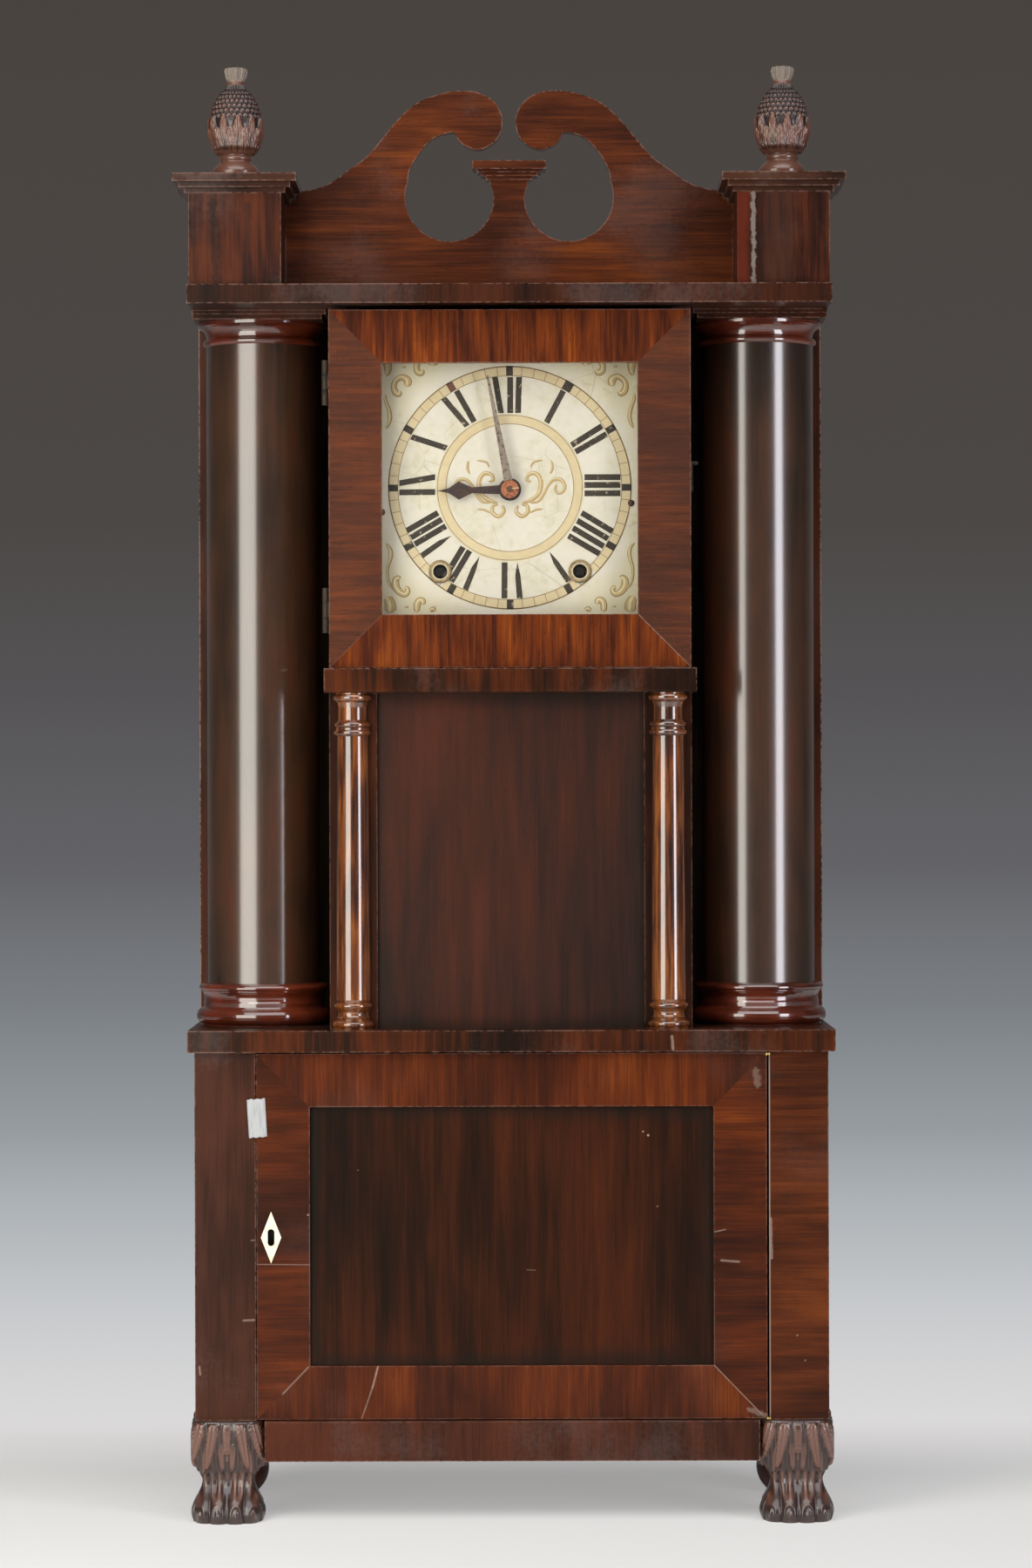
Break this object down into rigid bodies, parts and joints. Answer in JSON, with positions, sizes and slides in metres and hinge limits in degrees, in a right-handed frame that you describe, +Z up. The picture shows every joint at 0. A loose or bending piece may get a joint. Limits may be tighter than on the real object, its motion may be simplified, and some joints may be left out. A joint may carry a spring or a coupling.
{
  "type": "hollow column shelf clock",
  "caption": "Free-standing mahogany shelf clock with hollow columns, hinged dial door, hinged base door, paw feet, scrolled crest, pendulum and falling weights.",
  "frame": {"origin": "middle of the case on the surface that it stands on", "axes": "+X to the right seen from the front, -Y to the front, +Z up"},
  "size_m": [0.4538, 0.178, 0.985],
  "materials": {
    "dark_wood": "old dark polish",
    "flame_veneer": "figured veneer, worn polish",
    "mahogany": "polished veneer",
    "painted_dial": "worn white paint",
    "glass": "clear old glass",
    "bone": "yellowed bone",
    "oak": "plain oak",
    "cherry": "plain cherry",
    "brass": "dull brass",
    "steel": "polished steel",
    "blued_steel": "darkened steel",
    "iron": "black iron"
  },
  "bodies": {
    "case": {"backboard": "dark_wood", "upper_sides": "mahogany", "base_sides": "mahogany", "base_stiles": "mahogany", "bottom_rail": "flame_veneer", "bottom_board": "dark_wood", "waist_board": "flame_veneer", "cornice_board": "flame_veneer", "bed_mouldings": "mahogany", "hood_sides": "mahogany", "sill_moulding": "flame_veneer", "mid_stiles": "mahogany", "mid_panel": "dark_wood", "pilasters": "mahogany", "column_shaft_left": "mahogany", "column_shaft_right": "mahogany", "column_capitals": "mahogany", "column_bases": "mahogany", "plinth_blocks": "mahogany", "plinth_caps": "flame_veneer", "finials": "flame_veneer", "crest": "flame_veneer", "front_feet": "dark_wood", "rear_feet": "dark_wood", "dial": "painted_dial", "grommets": "brass", "movement_frame": "oak", "seat_rails": "oak", "bell": "brass", "fixed_hinge_leaves": "brass", "pulley_brackets": "iron"},
    "upper_door": {"upper_door_frame": "flame_veneer", "upper_glass": "glass", "upper_door_fittings": "brass"},
    "hook": {"latch_hook": "brass"},
    "base_door": {"base_door_frame": "flame_veneer", "base_door_panel": "dark_wood", "base_hinge_leaves": "brass", "escutcheon": "bone", "lock_case": "iron"},
    "bolt": {"lock_bolt": "brass"},
    "pendulum": {"pendulum_rod": "steel", "pendulum_bob": "brass"},
    "verge": {"anchor": "steel"},
    "minute": {"minute_hand": "steel", "centre_arbor": "brass"},
    "hour": {"hour_hand": "blued_steel"},
    "idler": {"motion_idler": "brass"},
    "time_great": {"time_great_wheel": "cherry"},
    "third": {"third_wheel": "brass"},
    "escape": {"escape_wheel": "brass"},
    "time_barrel": {"time_drum": "cherry"},
    "strike_barrel": {"strike_drum": "cherry"},
    "time_load": {"time_weight": "iron"},
    "strike_load": {"strike_weight": "iron"},
    "time_sheave": {"time_pulley": "brass"},
    "strike_sheave": {"strike_pulley": "brass"},
    "strike_great": {"strike_great_wheel": "cherry"},
    "strike_second": {"strike_second_wheel": "brass"},
    "striker": {"hammer": "steel"}
  },
  "joints": [
    {"name": "upper_door_swing", "type": "hinge", "parent": "case", "child": "upper_door", "pos_m": [-0.1255, -0.04315, 0.697], "axis": [0, 0, -1], "range_deg": [0, 110]},
    {"name": "hook_swing", "type": "hinge", "parent": "case", "child": "hook", "pos_m": [0.1233, -0.036, 0.714], "axis": [-1, 0, 0], "range_deg": [-60, 65]},
    {"name": "base_door_swing", "type": "hinge", "parent": "case", "child": "base_door", "pos_m": [0.173, -0.0723, 0.19], "axis": [0, 0, 1], "range_deg": [0, 110]},
    {"name": "bolt_throw", "type": "slide", "parent": "base_door", "child": "bolt", "axis": [-1, 0, 0], "range_m": [0, 0.006]},
    {"name": "pendulum_swing", "type": "hinge", "parent": "case", "child": "pendulum", "pos_m": [0, 0.042, 0.785], "axis": [0, 1, 0], "range_deg": [-3.5, 3.5]},
    {"name": "verge_rock", "type": "hinge", "parent": "case", "child": "verge", "pos_m": [0, 0, 0.785], "axis": [0, 1, 0], "range_deg": [-3.5, 3.5]},
    {"name": "minute_turn", "type": "hinge", "parent": "case", "child": "minute", "pos_m": [0, 0, 0.697], "axis": [0, 1, 0], "continuous": true},
    {"name": "hour_turn", "type": "hinge", "parent": "case", "child": "hour", "pos_m": [0, -0.04, 0.697], "axis": [0, 1, 0], "continuous": true},
    {"name": "idler_turn", "type": "hinge", "parent": "case", "child": "idler", "pos_m": [-0.01414, -0.03, 0.68286], "axis": [0, 1, 0], "continuous": true},
    {"name": "time_great_turn", "type": "hinge", "parent": "case", "child": "time_great", "pos_m": [0.0476, 0, 0.6414], "axis": [0, 1, 0], "continuous": true},
    {"name": "third_turn", "type": "hinge", "parent": "case", "child": "third", "pos_m": [0.0204, 0, 0.7314], "axis": [0, 1, 0], "continuous": true},
    {"name": "escape_turn", "type": "hinge", "parent": "case", "child": "escape", "pos_m": [0, 0, 0.761], "axis": [0, 1, 0], "continuous": true},
    {"name": "time_weight_lift", "type": "slide", "parent": "case", "child": "time_load", "axis": [0, 0, 1], "range_m": [0, 0.5]},
    {"name": "time_drum_turn", "type": "hinge", "parent": "case", "child": "time_barrel", "pos_m": [0.0476, 0.012, 0.6414], "axis": [0, 1, 0], "range_deg": [0, 2730]},
    {"name": "time_pulley_turn", "type": "hinge", "parent": "case", "child": "time_sheave", "pos_m": [0.1595, 0.014, 0.79], "axis": [0, 1, 0], "range_deg": [0, 2866]},
    {"name": "strike_weight_lift", "type": "slide", "parent": "case", "child": "strike_load", "axis": [0, 0, 1], "range_m": [0, 0.5]},
    {"name": "strike_drum_turn", "type": "hinge", "parent": "case", "child": "strike_barrel", "pos_m": [-0.0476, 0.012, 0.6414], "axis": [0, -1, 0], "range_deg": [0, 2730]},
    {"name": "strike_pulley_turn", "type": "hinge", "parent": "case", "child": "strike_sheave", "pos_m": [-0.1595, 0.014, 0.79], "axis": [0, -1, 0], "range_deg": [0, 2866]},
    {"name": "strike_great_turn", "type": "hinge", "parent": "case", "child": "strike_great", "pos_m": [-0.0476, 0, 0.6414], "axis": [0, 1, 0], "continuous": true},
    {"name": "strike_second_turn", "type": "hinge", "parent": "case", "child": "strike_second", "pos_m": [-0.0593, 0, 0.70778], "axis": [0, 1, 0], "continuous": true},
    {"name": "hammer_lift", "type": "hinge", "parent": "case", "child": "striker", "pos_m": [-0.036, 0, 0.566], "axis": [0, -1, 0], "range_deg": [0, 18]}
  ],
  "couplings": [
    {"joint": "verge_rock", "follows": "pendulum_swing", "ratio": 1},
    {"joint": "hour_turn", "follows": "minute_turn", "ratio": 0.083333},
    {"joint": "idler_turn", "follows": "minute_turn", "ratio": -0.33333},
    {"joint": "time_great_turn", "follows": "minute_turn", "ratio": -0.26667},
    {"joint": "third_turn", "follows": "minute_turn", "ratio": -9},
    {"joint": "escape_turn", "follows": "minute_turn", "ratio": 72},
    {"joint": "time_drum_turn", "follows": "time_weight_lift", "rad_per_m": 95.238},
    {"joint": "time_pulley_turn", "follows": "time_weight_lift", "rad_per_m": 100},
    {"joint": "strike_drum_turn", "follows": "strike_weight_lift", "rad_per_m": 95.238},
    {"joint": "strike_pulley_turn", "follows": "strike_weight_lift", "rad_per_m": 100},
    {"joint": "strike_second_turn", "follows": "strike_great_turn", "ratio": -6}
  ]
}
